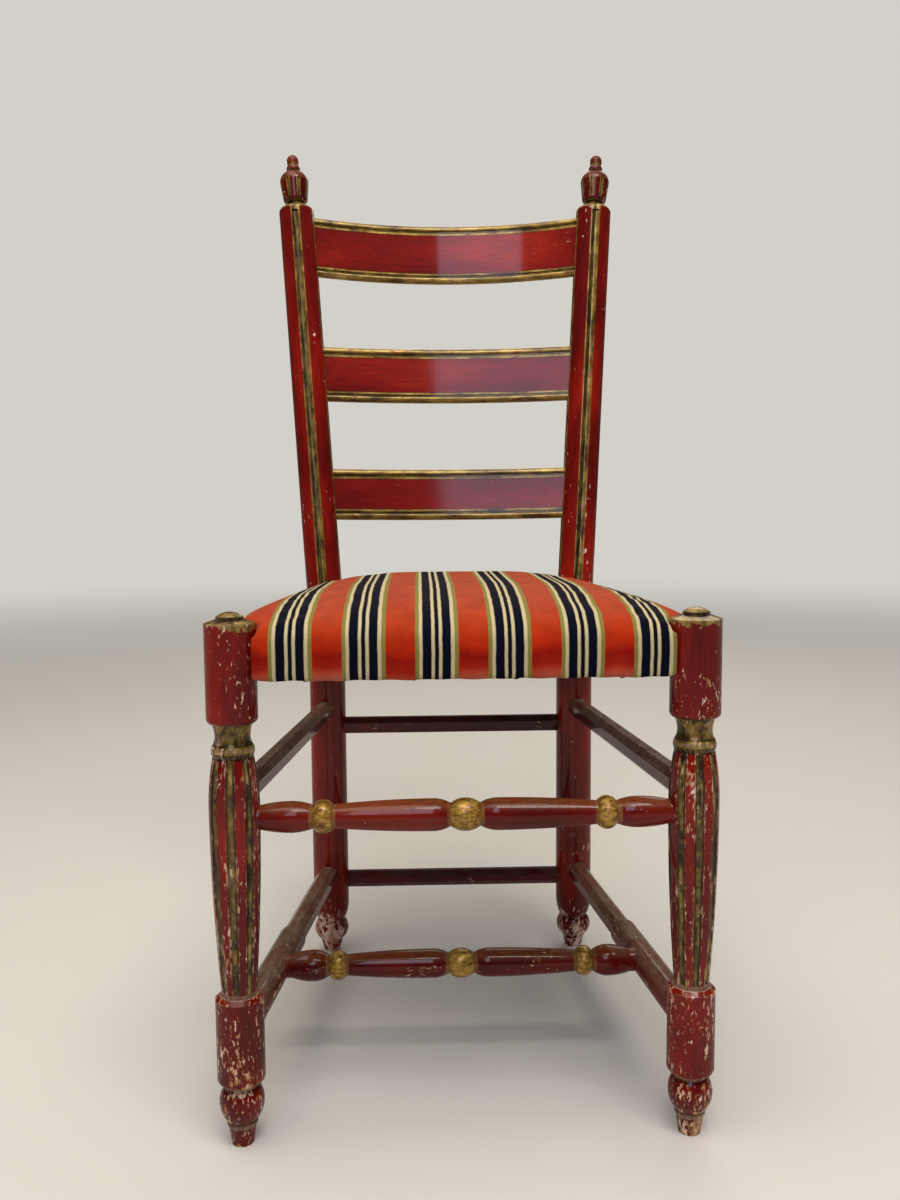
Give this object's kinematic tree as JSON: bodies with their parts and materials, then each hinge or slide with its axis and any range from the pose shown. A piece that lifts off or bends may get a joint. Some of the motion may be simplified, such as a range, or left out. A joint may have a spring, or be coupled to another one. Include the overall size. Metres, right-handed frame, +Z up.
{
  "type": "ladder-back side chair",
  "caption": "Ladder-back side chair with turned and fluted legs, bowed slats, finials and a stuffed striped seat.",
  "frame": {"origin": "on the floor, under the middle of the chair's box in plan", "axes": "+Z up, -Y out of the chair's front, +X to the right of someone who looks at its front"},
  "size_m": [0.431, 0.5446, 0.9769],
  "materials": {
    "painted_wood": "deep red paint over gesso, rubbed through to pale wood, with old gilding on the mouldings",
    "bare_wood": "unpainted beech seat rails",
    "velvet": "striped velvet in orange red, black, cream and olive",
    "webbing": "jute webbing",
    "wadding": "stuffing under cotton wadding",
    "black_cloth": "thin woven dust cloth",
    "tack_steel": "blued steel tacks"
  },
  "bodies": {
    "root": {"front_leg_left": "painted_wood", "front_leg_right": "painted_wood", "back_post_left": "painted_wood", "back_post_right": "painted_wood", "finial_left": "painted_wood", "finial_right": "painted_wood", "top_slat": "painted_wood", "middle_slat": "painted_wood", "lower_slat": "painted_wood", "upper_front_stretcher": "painted_wood", "lower_front_stretcher": "painted_wood", "upper_side_stretcher_left": "painted_wood", "upper_side_stretcher_right": "painted_wood", "lower_side_stretcher_left": "painted_wood", "lower_side_stretcher_right": "painted_wood", "upper_back_stretcher": "painted_wood", "lower_back_stretcher": "painted_wood", "seat_rail_front": "bare_wood", "seat_rail_back": "bare_wood", "seat_rail_left": "bare_wood", "seat_rail_right": "bare_wood", "seat_webbing": "webbing", "seat_stuffing": "wadding", "seat_cover": "velvet", "dust_cloth": "black_cloth", "seat_tacks": "tack_steel"}
  },
  "joints": []
}
